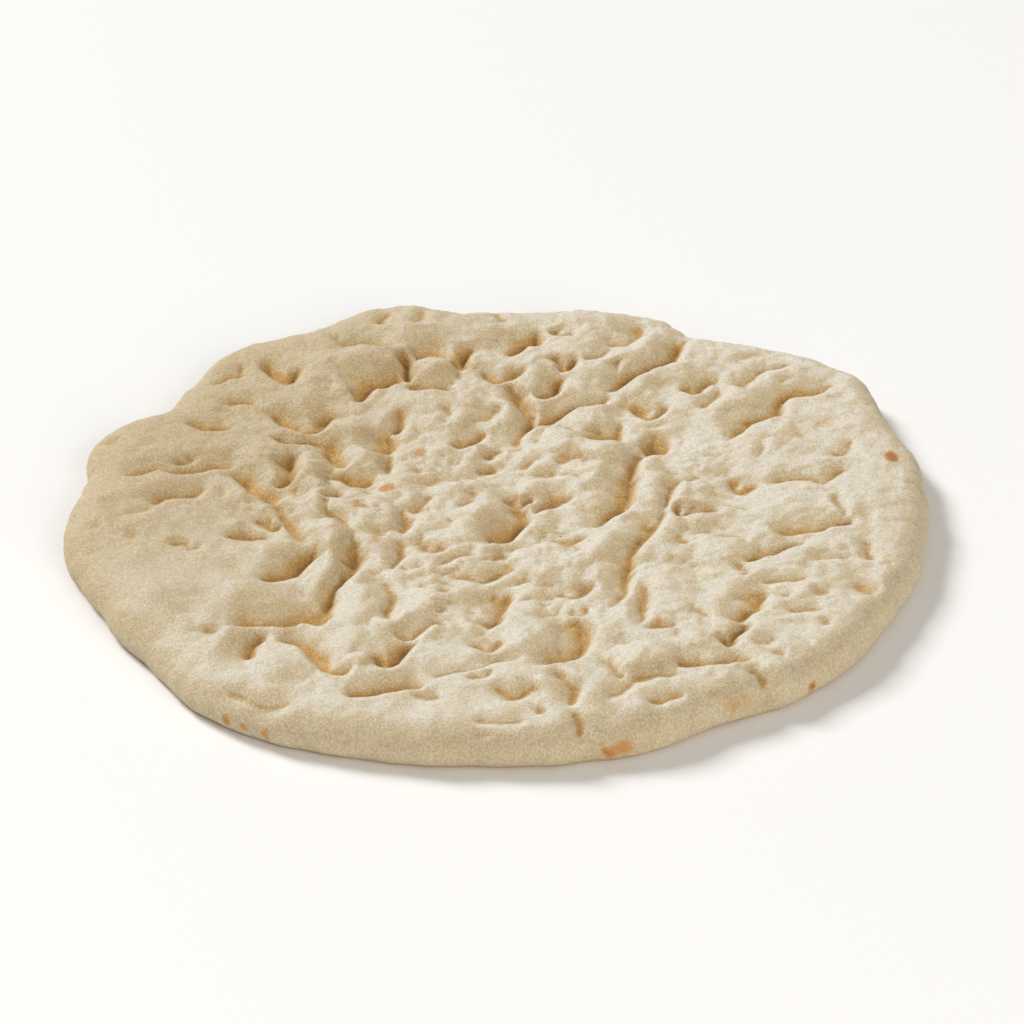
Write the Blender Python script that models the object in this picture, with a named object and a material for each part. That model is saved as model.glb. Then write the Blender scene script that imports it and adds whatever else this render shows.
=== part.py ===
"""Pizza base: a hand-stretched, part-baked disc of bread dough, as one closed solid.

The dough has a raised rim, a flat underside and a top full of folds and finger
dents.  Along a fold's route the dough rolls down into a crease on the left, as the
flank of a bulge, and stands up again in a rounded lip on the right.  Between the folds
the top settles smoothly.  Everything is worked out from the sizes, folds, dents and
pillows named below, in millimetres.  The origin is at the middle of the underside, +Z
is up and +Y points to the far edge.
"""

import itertools
import math

import bpy
import bmesh
import numpy as np

MM = 0.001

# Driving dimensions of the disc.
RIM_TOP = 14.5          # crest of the rim over the underside
MIDDLE_TOP = 11.5       # crests in the middle of the disc
RIM_BEGINS = 0.35       # where the top starts to rise to the rim, as a share of the radius
RIM_ENDS = 0.85
WAIST = 5.0             # height of the edge's widest line
SHOULDER = 14.0         # how far in from the widest line the top rolls over
SOFTER_SHOULDER = 5.0   # how much that changes from one side to the other
TUCK = 4.0              # how far in from the widest line the flat underside ends

# Driving dimensions of the folds.
LIP_ROLL = 4.5          # width of the steep, rounded wall behind a lip
LIP_RAISE = 0.1         # height of a lip over the dough round it, as a share of the fold's depth
CREASE = 0.75           # how far from a fold's line the flank begins to rise
DEPTH = 0.85            # how much of a fold's named depth is pressed in
FLANK_RAISE = 0.3       # height of a flank over the dough round it, as a share of the depth
FLANK_WIDTH = 1.4       # how many reaches wide a flank is
SETTLING = 9.0          # over what length the dough settles round the folds
SINK = 0.3              # how far the dough round a hollow sinks, as a share of its depth
SPREAD = 7.0            # how wide that sinking is spread

# Unevenness of hand-stretched dough: (wavelength, height) pairs.
SWELLS = ((30.0, 1.3), (14.0, 0.7))
WANDER = ((11.0, 0.9), (5.0, 0.6), (2.6, 0.3))   # how far fold lines wander from their routes
EDGE_WOBBLE = ((17.0, 0.9), (8.0, 0.5))

# Rounded lumps: (size, height, share of the height that is left near the edge).
LUMPS = ((20.0, 3.0, 0.25), (10.0, 1.5, 0.3))
LUMPS_BEGIN = 70.0      # distance from the middle where the lumps begin to flatten
LUMPS_END = 105.0

# Fineness of the plan fields and of the solid.
PLAN_HALF = 168.0
PLAN_STEP = 1.0
COARSEST = 84
ROUNDS = 40             # passes of settling at each cell size
HOLD = 50.0             # how firmly a fold holds the dough against settling
RELAX = 1
GRID_STEPS = 240        # squares across the fine mesh that is shaped and then thinned
SOLID_FACES = 9800      # triangles that the finished solid keeps
FOOT = 0.3              # whatever lies lower than this is pressed flat on the underside
ROUTE_STEPS = 4         # straight steps between two points of a fold's route

DOUGH_COLOUR = (0.62, 0.50, 0.34, 1.0)
DOUGH_ROUGHNESS = 0.85

# The edge's widest line, as (angle from +X in degrees, radius).  The stretching hands
# left bulges and notches.
EDGE = (
    (0, 148.5), (12, 151), (24, 152.5), (33, 158), (42, 156), (50, 149.5), (60, 145), (66, 151),
    (74, 146.5), (82, 143), (90, 141.5), (96, 143), (102, 151), (109, 152), (117, 148.5), (133, 148),
    (143, 144), (150, 138.5), (157, 147.5), (162, 150), (174, 146.5), (191, 149), (204, 144), (220, 147),
    (234, 151.5), (252, 148), (270, 146.5), (290, 146), (301, 141.5), (313, 146.5), (336, 144.5), (352, 148),
)

# Folds: (depth, reach, route).  The crease and the bulge's flank are on the left of the
# route and the lip is on the right.  The reach sets how wide the flank is.
FOLDS = (
    # Far left
    (2.4, 9, [(-65, 121), (-62, 116), (-56, 111), (-47, 111), (-39, 104)]),
    (7.4, 6, [(-32, 83), (-33, 98), (-35, 102), (-38, 104)]),
    (7.4, 9, [(-21, 106), (-16, 101), (-14, 96), (-13, 105), (-9, 112)]),
    (8.3, 16, [(-54, 72), (-50, 71), (-46, 80), (-43, 82), (-38, 86), (-32, 84)]),
    (3.4, 10, [(-35, 84), (-28, 79), (-20, 78), (-13, 78)]),
    (3.4, 12, [(-33, 99), (-29, 100), (-24, 107), (-19, 101)]),
    (7.4, 17, [(-86, 66), (-82, 61), (-76, 55), (-66, 51), (-60, 59), (-49, 60)]),
    (4.6, 8, [(-85, 101), (-83, 92), (-79, 86), (-75, 84), (-72, 96)]),
    (2.1, 8, [(-106, 88), (-103, 83), (-98, 88), (-93, 89), (-94, 99)]),
    (3.4, 10, [(-112, 51), (-107, 51), (-103, 49), (-98, 51), (-94, 52)]),
    (3.4, 8, [(-82, 46), (-77, 43), (-71, 42), (-66, 43), (-61, 38)]),
    # Far middle
    (6.5, 11, [(1, 106), (4, 105), (9, 113), (14, 113), (13, 124)]),
    (2.8, 10, [(19, 120), (22, 117), (25, 115), (29, 115)]),
    (3.1, 10, [(38, 105), (41, 110), (47, 112), (54, 127)]),
    (2.1, 7, [(29, 101), (31, 98), (36, 101), (42, 106)]),
    (4.9, 12, [(-10, 94), (-6, 90), (-3, 86), (1, 86), (8, 92), (8, 97)]),
    (4.9, 5, [(17, 102), (21, 97), (23, 91), (26, 95), (25, 100)]),
    (6.5, 11, [(10, 77), (14, 76), (20, 78), (22, 85), (27, 87)]),
    (6.5, 7, [(11, 46), (11, 59), (10, 64), (6, 76), (0, 84)]),
    (4.1, 11, [(-19, 44), (-15, 41), (-11, 41), (-6, 48), (-3, 53)]),
    (3.4, 5, [(-41, 52), (-38, 51), (-35, 54), (-34, 61), (-37, 67)]),
    (2.1, 5, [(42, 88), (43, 95), (42, 99)]),
    (2.1, 4, [(-45, 124), (-43, 133), (-40, 137)]),
    # The long fold from the middle out to the far rim
    (4.9, 10, [(5, 36), (10, 53), (18, 61), (27, 67), (34, 69), (38, 73), (41, 83)]),
    (6.2, 9, [(36, 72), (41, 80), (50, 90), (62, 98), (66, 112), (70, 122)]),
    # Far right
    (4.1, 10, [(27, 45), (32, 48), (41, 48), (43, 56), (42, 62)]),
    (4.9, 11, [(43, 68), (47, 68), (53, 61), (57, 64), (61, 69)]),
    (4.1, 11, [(63, 80), (68, 79), (71, 77), (75, 82), (81, 84)]),
    (2.4, 6, [(70, 68), (74, 66), (78, 73), (80, 79)]),
    (2.4, 6, [(84, 74), (89, 83), (95, 92), (102, 95), (104, 102)]),
    (4.9, 13, [(75, 44), (79, 40), (90, 54), (99, 61), (103, 73), (116, 76), (123, 85)]),
    # Near the right edge
    (6.0, 12, [(61, 3), (61, -7), (66, -7), (73, -6), (78, -2)]),
    (3.4, 10, [(80, 20), (81, 13), (84, 10), (87, 12), (91, 14)]),
    (3.0, 8, [(88, 13), (93, 13), (101, 15), (108, 15), (112, 12), (118, 18), (128, 19)]),
    (3.7, 14, [(94, -26), (99, -23), (105, -20), (112, -17), (119, -17), (119, -11)]),
    (3.4, 9, [(81, -35), (84, -38), (89, -35), (95, -33), (107, -25)]),
    (2.1, 5, [(86, -56), (93, -53), (100, -53), (105, -52)]),
    (2.1, 9, [(92, -70), (97, -71), (104, -72), (110, -71)]),
    # Left
    (2.4, 8, [(-133, 13), (-122, 18), (-117, 19), (-109, 18), (-98, 24), (-87, 25)]),
    (8.3, 14, [(-96, 20), (-90, 18), (-85, 9), (-80, 6), (-76, -1)]),
    (3.4, 5, [(-80, 7), (-76, -2), (-70, -19), (-65, -33)]),
    (5.7, 10, [(-82, 15), (-77, 13), (-72, 17), (-72, 29), (-72, 37)]),
    (3.4, 7, [(-68, 45), (-62, 39), (-57, 32), (-53, 21)]),
    (2.8, 8, [(-84, -10), (-79, -13), (-76, -16), (-73, -11)]),
    (7.4, 15, [(-82, -48), (-77, -50), (-70, -46), (-65, -40), (-62, -36), (-60, -30)]),
    (6.5, 10, [(-56, -76), (-56, -59), (-51, -48), (-49, -40), (-49, -27), (-50, -21)]),
    (3.4, 5, [(-50, -22), (-54, -11), (-59, -4), (-60, 7), (-64, 8)]),
    (3.4, 9, [(-63, 8), (-61, 6), (-58, 6), (-53, 8)]),
    (3.1, 8, [(-95, -20), (-91, -23), (-86, -22), (-81, -22), (-80, -18)]),
    (2.4, 7, [(-119, -8), (-115, 0), (-108, 2), (-104, 4), (-101, 14)]),
    # Middle
    (4.9, 12, [(-58, 21), (-53, 17), (-50, 14), (-46, 16), (-41, 16)]),
    (2.8, 5, [(-40, 16), (-38, 25), (-38, 32), (-40, 43)]),
    (4.9, 11, [(-49, 38), (-44, 36), (-39, 38), (-39, 47), (-38, 52)]),
    (3.1, 5, [(-34, -21), (-31, -10), (-32, -4), (-35, -2)]),
    (2.4, 5, [(-37, -44), (-33, -30), (-33, -24), (-34, -20)]),
    (3.4, 7, [(-33, -1), (-28, -4), (-26, 0), (-24, 5), (-21, 8)]),
    (2.8, 7, [(-16, 0), (-13, 0), (-9, 3), (-8, 9), (-9, 11)]),
    (6.5, 11, [(-4, -30), (0, -22), (8, -12), (9, -6), (4, 4), (0, 8)]),
    (4.1, 10, [(0, 7), (3, 4), (6, 1), (10, 4), (11, 9)]),
    (3.7, 9, [(9, -8), (13, -4), (20, 7), (24, 8), (27, 10)]),
    (2.1, 6, [(19, 28), (21, 27), (23, 31), (29, 33)]),
    (2.4, 6, [(-10, 24), (-7, 24), (-4, 25), (-1, 28)]),
    (2.4, 6, [(-7, 33), (-4, 33), (-2, 36), (0, 41)]),
    (7.4, 12, [(27, -17), (38, -6), (43, 2), (46, 17), (47, 25), (51, 35), (60, 44)]),
    (4.9, 9, [(36, -72), (42, -53), (44, -38), (50, -23), (58, 1), (61, 12), (66, 24)]),
    (2.1, 7, [(-23, -37), (-20, -39), (-17, -35), (-13, -34), (-5, -32)]),
    (2.1, 7, [(-27, -24), (-24, -29), (-20, -29), (-17, -28)]),
    (2.1, 6, [(-35, -36), (-32, -42), (-28, -41), (-25, -39)]),
    (2.4, 8, [(-22, -42), (-16, -45), (-10, -46), (-4, -48), (1, -43), (8, -42)]),
    (3.4, 11, [(17, -56), (21, -57), (26, -58), (31, -53), (33, -49)]),
    # Near left
    (6.5, 15, [(-91, -80), (-86, -80), (-76, -77), (-70, -78), (-64, -75), (-53, -79)]),
    (4.9, 8, [(-82, -104), (-80, -91), (-76, -87), (-74, -83)]),
    (6.5, 13, [(-74, -86), (-63, -92), (-56, -105), (-51, -107), (-47, -106), (-43, -105)]),
    (6.5, 12, [(-44, -96), (-40, -98), (-36, -103), (-33, -100), (-29, -92), (-24, -91)]),
    (4.1, 11, [(-37, -82), (-33, -86), (-29, -88), (-27, -86), (-23, -81), (-14, -78)]),
    (3.1, 8, [(-35, -84), (-36, -72), (-35, -60), (-41, -43)]),
    # Near middle
    (4.9, 13, [(-13, -76), (-6, -77), (-1, -77), (1, -67), (5, -51)]),
    (3.4, 10, [(-10, -90), (-5, -93), (-2, -95), (0, -92), (2, -86)]),
    (4.9, 11, [(-52, -121), (-46, -122), (-41, -121), (-32, -117), (-22, -115)]),
    (4.9, 13, [(9, -104), (15, -104), (21, -100), (28, -93), (29, -81), (22, -68)]),
    (2.4, 7, [(21, -70), (25, -71), (28, -70), (30, -64)]),
    (2.1, 6, [(-12, -111), (-8, -113), (-4, -112), (-2, -105)]),
    (2.1, 6, [(-28, -121), (-24, -123), (-21, -123), (-19, -120)]),
    (2.9, 7, [(-4, -118), (1, -120), (6, -123), (10, -120), (15, -120)]),
    (3.4, 7, [(23, -131), (25, -123), (24, -119), (17, -107)]),
    (2.4, 5, [(27, -143), (26, -138), (24, -131)]),
    # Near right
    (2.4, 5, [(48, -81), (48, -71), (48, -62), (49, -55), (49, -48)]),
    (2.4, 8, [(50, -77), (52, -80), (57, -79), (60, -75)]),
    (2.4, 5, [(36, -98), (36, -106), (41, -117)]),
    (6.5, 10, [(79, -79), (82, -72), (86, -69), (87, -62), (93, -62)]),
    (6.5, 7, [(71, -82), (73, -86), (76, -90), (77, -85), (80, -82), (81, -75)]),
    (4.9, 12, [(56, -104), (61, -104), (68, -103), (75, -101), (85, -99)]),
    (2.9, 7, [(33, -129), (42, -117), (46, -114), (53, -111), (63, -111)]),
    (2.9, 10, [(46, -124), (50, -127), (54, -125), (61, -120)]),
    (2.4, 5, [(81, -106), (84, -109), (89, -113)]),
)

# Finger dents: (x, y, half width, half length, depth), deepest towards -Y.
DENTS = (
    (55.5, 44, 5.5, 9, 5.0), (-137, 42, 4, 6, 1.2), (62, -24, 2.5, 4, 1.5),
    (123, -56, 5, 6, 1.8), (107, -60, 4, 4, 1.4), (31, 27, 3, 4, 1.2),
    (-17, -56, 2.5, 4, 1.3), (14, -131, 2, 3, 1.3), (-28, 23, 2, 3, 1.2),
)

# Pillows of dough: (x, y, half width, half length, height).
PILLOWS = (
    (-47, 97, 13, 13, 2.4), (-24, 91, 9, 12, 2.7), (-24, 66, 24, 18, 2.0),
    (-50, 28, 9, 12, 2.7), (-66, 22, 7, 15, 2.0), (-63, -42, 8, 36, 2.0),
    (-45, -62, 11, 19, 2.5), (-41, -8, 8, 10, 2.0), (-41, -31, 7, 12, 1.7),
    (-10, 1, 15, 18, 2.5), (9, -84, 12, 20, 2.2), (-70, -102, 13, 14, 2.2),
    (-45, -101, 6, 5, 2.4), (8, -112, 26, 11, 2.0), (47, -101, 13, 12, 3.4),
    (56, -45, 10, 42, 2.2), (52, 12, 7, 26, 1.7),
)


def smooth_step(low, high, value):
    """Ease from 0 at low to 1 at high."""
    share = np.clip((value - low) / (high - low), 0.0, 1.0)
    return share * share * (3.0 - 2.0 * share)


def edge_radius(angle):
    """Radius of the widest line at an angle in radians, smooth through EDGE."""
    degrees = np.degrees(angle) % 360.0
    marks = np.array([mark for mark, _ in EDGE], float)
    radii = np.array([radius for _, radius in EDGE], float)
    marks = np.concatenate((marks[-2:] - 360.0, marks, marks[:2] + 360.0))
    radii = np.concatenate((radii[-2:], radii, radii[:2]))
    place = np.clip(np.searchsorted(marks, degrees, side="right") - 1, 1, len(marks) - 3)
    before, start, end, after = (radii[place + k] for k in (-1, 0, 1, 2))
    span = marks[place + 1] - marks[place]
    share = (degrees - marks[place]) / span
    slope_in = (end - before) * span / (marks[place + 1] - marks[place - 1])
    slope_out = (after - start) * span / (marks[place + 2] - marks[place])
    square, cube = share ** 2, share ** 3
    return (
        start * (2 * cube - 3 * square + 1)
        + slope_in * (cube - 2 * square + share)
        + end * (3 * square - 2 * cube)
        + slope_out * (cube - square)
    )


def waves(points, layers, seed):
    """Smooth noise over plan points: the sum of (wavelength, height) layers."""
    draw = np.random.default_rng(seed)
    total = np.zeros(len(points))
    for wavelength, height in layers:
        turn = draw.uniform(0.0, math.pi)
        heights = draw.uniform(-1.0, 1.0, (256, 256))
        across = points @ (math.cos(turn), math.sin(turn)) / wavelength + 128.0
        along = points @ (-math.sin(turn), math.cos(turn)) / wavelength + 128.0
        column, row = across.astype(int), along.astype(int)
        u, v = across - column, along - row
        u, v = u * u * (3.0 - 2.0 * u), v * v * (3.0 - 2.0 * v)
        near = heights[row, column] * (1.0 - u) + heights[row, column + 1] * u
        far = heights[row + 1, column] * (1.0 - u) + heights[row + 1, column + 1] * u
        total += height * (near * (1.0 - v) + far * v)
    return total


def lumps(points, size, seed):
    """Rounded lumps about size millimetres across, of random heights, and 0 between them."""
    draw = np.random.default_rng(seed)
    shift = draw.uniform(0.0, 1.0, (2, 256, 256))
    heights = draw.uniform(0.2, 1.0, (256, 256))
    place = points / size + 128.0
    cell = place.astype(int)
    highest = np.zeros(len(points))
    for right, up in itertools.product((-1, 0, 1), repeat=2):
        column, row = cell[:, 0] + right, cell[:, 1] + up
        across = place[:, 0] - column - shift[0, row, column]
        along = place[:, 1] - row - shift[1, row, column]
        highest = np.maximum(highest, heights[row, column] * (1.0 - (across ** 2 + along ** 2) / 0.6))
    return highest


def relaxed(field, passes):
    """A plan field smoothed a little in both directions."""
    for _ in range(passes):
        for axis in (0, 1):
            field = (np.roll(field, 1, axis) + 2.0 * field + np.roll(field, -1, axis)) / 4.0
    return field


def broadened(field):
    """A plan field spread over SPREAD millimetres, worked out on coarse cells."""
    coarse = halved(halved(halved(field)))
    coarse = relaxed(coarse, round(2.0 * (SPREAD / (8.0 * PLAN_STEP)) ** 2))
    for _ in range(3):
        coarse = relaxed(coarse.repeat(2, axis=0).repeat(2, axis=1), 2)
    return coarse


def halved(field):
    """A plan field on cells twice as wide."""
    size = len(field) // 2
    return field.reshape(size, 2, size, 2).mean(axis=(1, 3))


def settle(target, grip, length, step):
    """Let the dough settle round its folds, from coarse cells to fine ones.

    Every cell takes its neighbours' height, is held at the target where there is
    grip, and comes back to the plain level over about the length.
    """
    if len(target) > COARSEST:
        coarse_grip = halved(grip)
        coarse = settle(halved(target * grip) / np.maximum(coarse_grip, 1e-9), coarse_grip, length, 2 * step)
        height = coarse.repeat(2, axis=0).repeat(2, axis=1)
    else:
        height = np.zeros_like(target)
    pull = (length / step) ** 2
    hold = HOLD * pull * grip
    for _ in range(ROUNDS):
        around = sum(np.roll(height, way, axis) for way in (1, -1) for axis in (0, 1))
        height = (hold * target + pull * around) / (hold + 1.0 + 4.0 * pull)
    return height


def sampled(field, points):
    """A plan field read at any plan points."""
    place = (points + PLAN_HALF) / PLAN_STEP - 0.5
    column, row = place.astype(int).T
    u, v = (place - place.astype(int)).T
    near = field[row, column] * (1.0 - u) + field[row, column + 1] * u
    far = field[row + 1, column] * (1.0 - u) + field[row + 1, column + 1] * u
    return near * (1.0 - v) + far * v


def smooth_route(points):
    """A curve through a fold's route, as short straight steps."""
    knots = np.array([points[0], *points, points[-1]], float)
    path = []
    for before, start, end, after in zip(knots, knots[1:], knots[2:], knots[3:]):
        for step in range(ROUTE_STEPS):
            t = step / ROUTE_STEPS
            path.append(0.5 * (
                2 * start + (end - before) * t
                + (2 * before - 5 * start + 4 * end - after) * t ** 2
                + (3 * start - before - 3 * end + after) * t ** 3
            ))
    path.append(knots[-1])
    return np.array(path)


def fold_marks(points, depth, reach, route):
    """Where one fold shapes the dough: the places, their heights and how strongly.

    On the left the dough rolls down to the crease as the flank of a bulge, on the
    right it stands up again in a lip.
    """
    path = smooth_route(route)
    low, high = path.min(axis=0) - max(reach, LIP_ROLL), path.max(axis=0) + max(reach, LIP_ROLL)
    near = np.flatnonzero(np.all((points > low) & (points < high), axis=1))
    starts, steps = path[:-1], np.diff(path, axis=0)
    lengths = np.hypot(*steps.T)
    along_start = np.concatenate(([0.0], np.cumsum(lengths)[:-1]))
    offset = points[near][:, None, :] - starts[None]
    share = np.clip((offset * steps).sum(axis=2) / lengths ** 2, 0.0, 1.0)
    gap = offset - share[..., None] * steps
    distance = np.hypot(gap[..., 0], gap[..., 1])
    nearest = distance.argmin(axis=1)
    rows = np.arange(len(near))
    away = distance[rows, nearest]
    step, off = steps[nearest], offset[rows, nearest]
    on_left = step[:, 0] * off[:, 1] - step[:, 1] * off[:, 0] > 0
    along = (along_start[nearest] + share[rows, nearest] * lengths[nearest]) / lengths.sum()
    taper = smooth_step(0.0, 0.25, along) * smooth_step(0.0, 0.25, 1.0 - along)
    roll = np.clip(away / LIP_ROLL, 0.0, 1.0)
    lip = LIP_RAISE * roll * roll - (1.0 - roll) ** 2
    rise = np.clip((away - CREASE) / (reach - CREASE), 0.0, 1.0)
    bulge = 0.35 * np.sqrt(1.0 - (1.0 - rise) ** 2) + 0.65 * np.sin(math.pi / 2 * rise)
    flank = (1.0 + FLANK_RAISE) * bulge - 1.0
    height = depth * taper * np.where(on_left, flank, lip)
    held = away < np.where(on_left, reach, LIP_ROLL)
    grip = held * taper ** 2 * (0.1 + np.minimum(height, 0.0) ** 2)
    return near, height, grip


def dome(points, x, y, half_width, half_length):
    """1 in the middle of an ellipse, falling smoothly to 0 at its edge."""
    across = (points[:, 0] - x) / half_width
    along = (points[:, 1] - y) / half_length
    return np.clip(1.0 - across ** 2 - along ** 2, 0.0, 1.0), along


def relief():
    """Height of the lumps, folds, dents and pillows over the plain top, as a plan field."""
    line = np.arange(-PLAN_HALF, PLAN_HALF, PLAN_STEP) + PLAN_STEP / 2
    across, along = np.meshgrid(line, line)
    points = np.column_stack((across.ravel(), along.ravel()))
    swell = waves(points, SWELLS, 1)
    points = points + np.column_stack((waves(points, WANDER, 2), waves(points, WANDER, 3)))
    shape = (len(line), len(line))
    target = np.zeros(len(points))
    grip = np.zeros(len(points))
    for depth, reach, route in FOLDS:
        places, height, strength = fold_marks(points, DEPTH * depth ** 0.8, FLANK_WIDTH * reach, route)
        target[places] += height * strength
        grip[places] += strength
    target /= np.maximum(grip, 1e-9)
    folded = settle(target.reshape(shape), np.minimum(grip, 1.0).reshape(shape), SETTLING, PLAN_STEP)
    dented = np.zeros(len(points))
    for x, y, half_width, half_length, depth in DENTS:
        level, slant = dome(points, x, y, half_width, half_length)
        dented += depth * level * (1.0 - 0.5 * slant)
    middle = 1.0 - smooth_step(LUMPS_BEGIN, LUMPS_END, np.hypot(*points.T))
    raised = swell
    for seed, (size, height, outside) in enumerate(LUMPS):
        raised += height * (outside + (1.0 - outside) * middle) * (lumps(points, size, 10 + seed) - 0.4)
    for x, y, half_width, half_length, height in PILLOWS:
        raised += height * dome(points, x, y, half_width, half_length)[0]
    folded = relaxed(folded - dented.reshape(shape), RELAX)
    lift = raised.reshape(shape) + folded - SINK * broadened(np.maximum(-folded, 0.0))
    return lift


def disc_places(steps):
    """Plan directions and shares of the radius for a square grid wrapped onto a disc."""
    ticks = np.linspace(-1.0, 1.0, steps + 1)
    a, b = (axis.ravel() for axis in np.meshgrid(ticks, ticks, indexing="ij"))
    wide = np.abs(a) > np.abs(b)
    share = np.where(wide, a, b)
    safe = np.where(share == 0.0, 1.0, share)
    angle = np.where(wide, math.pi / 4 * b / safe, math.pi / 2 - math.pi / 4 * a / safe)
    angle = np.where(share < 0.0, angle + math.pi, angle)
    return angle, np.abs(share)


def dough_points():
    """Positions of the grid's points on the top, over the shoulder and down to the foot."""
    angle, share = disc_places(GRID_STEPS)
    edge = edge_radius(angle)
    edge += waves(150.0 * np.column_stack((np.cos(angle), np.sin(angle))), EDGE_WOBBLE, 4)
    shoulder = SHOULDER - SOFTER_SHOULDER * np.cos(angle + 0.5)
    roll = math.pi / 2 * (shoulder + RIM_TOP - WAIST) / 2
    tuck = math.pi / 2 * (TUCK + WAIST) / 2
    flat = edge - shoulder
    travel = share * (flat + roll + tuck)
    over = np.clip((travel - flat) / roll, 0.0, 1.0) * math.pi / 2
    under = np.clip((travel - flat - roll) / tuck, 0.0, 1.0) * math.pi / 2
    radius = np.minimum(travel, flat) + shoulder * np.sin(over) - TUCK * (1.0 - np.cos(under))
    crest = MIDDLE_TOP + (RIM_TOP - MIDDLE_TOP) * smooth_step(RIM_BEGINS, RIM_ENDS, radius / edge)
    height = WAIST + (crest - WAIST) * np.cos(over) - WAIST * np.sin(under)
    direction = np.stack((np.cos(angle), np.sin(angle)), axis=1)
    plan = direction * radius[:, None]
    lift = sampled(relief(), plan) * np.cos(under) ** 2
    plan += direction * (lift * np.sin(over))[:, None]
    height += lift * np.cos(over)
    return np.column_stack((plan, height)) * MM


def dough_mesh():
    """The closed dough: the shaped grid and a flat underside across its last loop."""
    points = dough_points()
    side = GRID_STEPS + 1
    mesh = bmesh.new()
    verts = [mesh.verts.new(point) for point in points]
    for i in range(GRID_STEPS):
        for j in range(GRID_STEPS):
            corner = i * side + j
            mesh.faces.new([verts[corner + k] for k in (0, side, side + 1, 1)])
    foot = [edge for edge in mesh.edges if edge.is_boundary]
    bmesh.ops.contextual_create(mesh, geom=foot)
    bmesh.ops.triangulate(mesh, faces=mesh.faces[:])
    bmesh.ops.recalc_face_normals(mesh, faces=mesh.faces[:])
    data = bpy.data.meshes.new("pizza_base")
    mesh.to_mesh(data)
    mesh.free()
    return data


def thin_out(body):
    """Keep about SOLID_FACES triangles, most of them where the dough is folded."""
    thin = body.modifiers.new("thin_out", "DECIMATE")
    thin.ratio = SOLID_FACES / len(body.data.polygons)
    thin.use_collapse_triangulate = True
    bpy.context.view_layer.update()
    seen = body.evaluated_get(bpy.context.evaluated_depsgraph_get())
    data = bpy.data.meshes.new_from_object(seen)
    body.modifiers.clear()
    body.data = data


def stand_on_origin(body):
    """Press the foot flat, and put the middle of the underside at the origin."""
    points = np.array([vert.co for vert in body.data.vertices])
    points[points[:, 2] < FOOT * MM, 2] = 0.0
    middle = (points.min(axis=0) + points.max(axis=0)) / 2
    points[:, :2] -= middle[:2]
    body.data.vertices.foreach_set("co", points.ravel())


def dough_material():
    """Pale, floury, part-baked dough."""
    material = bpy.data.materials.new("dough")
    material.use_nodes = True
    shader = material.node_tree.nodes["Principled BSDF"]
    shader.inputs["Base Color"].default_value = DOUGH_COLOUR
    shader.inputs["Roughness"].default_value = DOUGH_ROUGHNESS
    shader.inputs["Metallic"].default_value = 0.0
    return material


for old in list(bpy.data.objects):
    bpy.data.objects.remove(old)
pizza_base = bpy.data.objects.new("pizza_base", dough_mesh())
bpy.context.scene.collection.objects.link(pizza_base)
thin_out(pizza_base)
stand_on_origin(pizza_base)
pizza_base.data.materials.clear()
pizza_base.data.materials.append(dough_material())
pizza_base.data.shade_smooth()
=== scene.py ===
import itertools
import math

import bpy
import numpy as np
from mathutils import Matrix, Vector


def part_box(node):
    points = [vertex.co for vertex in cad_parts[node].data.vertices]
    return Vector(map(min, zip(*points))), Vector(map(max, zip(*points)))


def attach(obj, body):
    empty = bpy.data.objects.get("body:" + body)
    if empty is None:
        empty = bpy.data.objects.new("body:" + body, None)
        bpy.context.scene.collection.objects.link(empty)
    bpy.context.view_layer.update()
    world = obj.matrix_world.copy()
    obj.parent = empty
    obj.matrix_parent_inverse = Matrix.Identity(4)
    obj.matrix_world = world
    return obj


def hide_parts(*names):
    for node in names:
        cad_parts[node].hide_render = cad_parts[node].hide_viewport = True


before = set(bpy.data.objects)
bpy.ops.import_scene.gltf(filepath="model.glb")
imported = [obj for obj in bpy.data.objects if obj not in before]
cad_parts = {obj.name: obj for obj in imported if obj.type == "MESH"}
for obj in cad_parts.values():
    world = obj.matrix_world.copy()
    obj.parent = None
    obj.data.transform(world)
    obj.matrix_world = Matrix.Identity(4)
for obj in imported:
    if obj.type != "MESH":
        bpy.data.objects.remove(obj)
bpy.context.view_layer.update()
bpy.ops.object.select_all(action="DESELECT")


# ---------------------------------------------------------------------------
# The dough
# One hand-stretched disc of soft bread dough, baked until it is set but pale.
# It is one piece: a rim rolled over by its own weight, a flat underside that lay
# on the baking stone, and a top pressed and folded by the maker's fingers.
# ---------------------------------------------------------------------------
MM = 0.001

# Section of the disc, in millimetres: heights over the underside, and how far the top
# and the foot roll in from the widest line.  The shoulder is SOFTER_SHOULDER narrower
# where the edge looks SHARP_SIDE radians clockwise of +X, and that much wider opposite.
RIM_TOP = 14.5
MIDDLE_TOP = 11.5
WAIST = 5.0
SHOULDER = 14.0
SOFTER_SHOULDER = 5.0
SHARP_SIDE = 0.5
TUCK = 4.0
EDGE_WOBBLE = ((17.0, 0.9), (8.0, 0.5))
EDGE_WOBBLE_RADIUS = 150.0

# Where the top starts to rise to the rim, and where it is up, as shares of the radius.
RIM_BEGINS = 0.35
RIM_ENDS = 0.85

# How a fold shapes the dough.  What is pressed springs back, deep folds more than shallow
# ones: KEPT * depth ** KEPT_POWER stays.  On the left of the line the dough is held down
# for CREASE millimetres, then rises in a flank that is FLANK_WIDTH reaches wide and ends
# FLANK_RAISE of the depth over the dough round it.  On the right it rises in a lip that is
# LIP_ROLL millimetres wide and ends LIP_RAISE of the depth over it.  FLANK_ROUNDNESS of
# the flank is a quarter circle and the rest a softer curve.  A fold fades out over
# FADES_OVER of its length at each end.
KEPT = 0.92
KEPT_POWER = 0.8
CREASE = 0.75
FLANK_WIDTH = 1.4
FLANK_RAISE = 0.3
FLANK_ROUNDNESS = 0.35
LIP_ROLL = 4.5
LIP_RAISE = 0.1
FADES_OVER = 0.25

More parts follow.
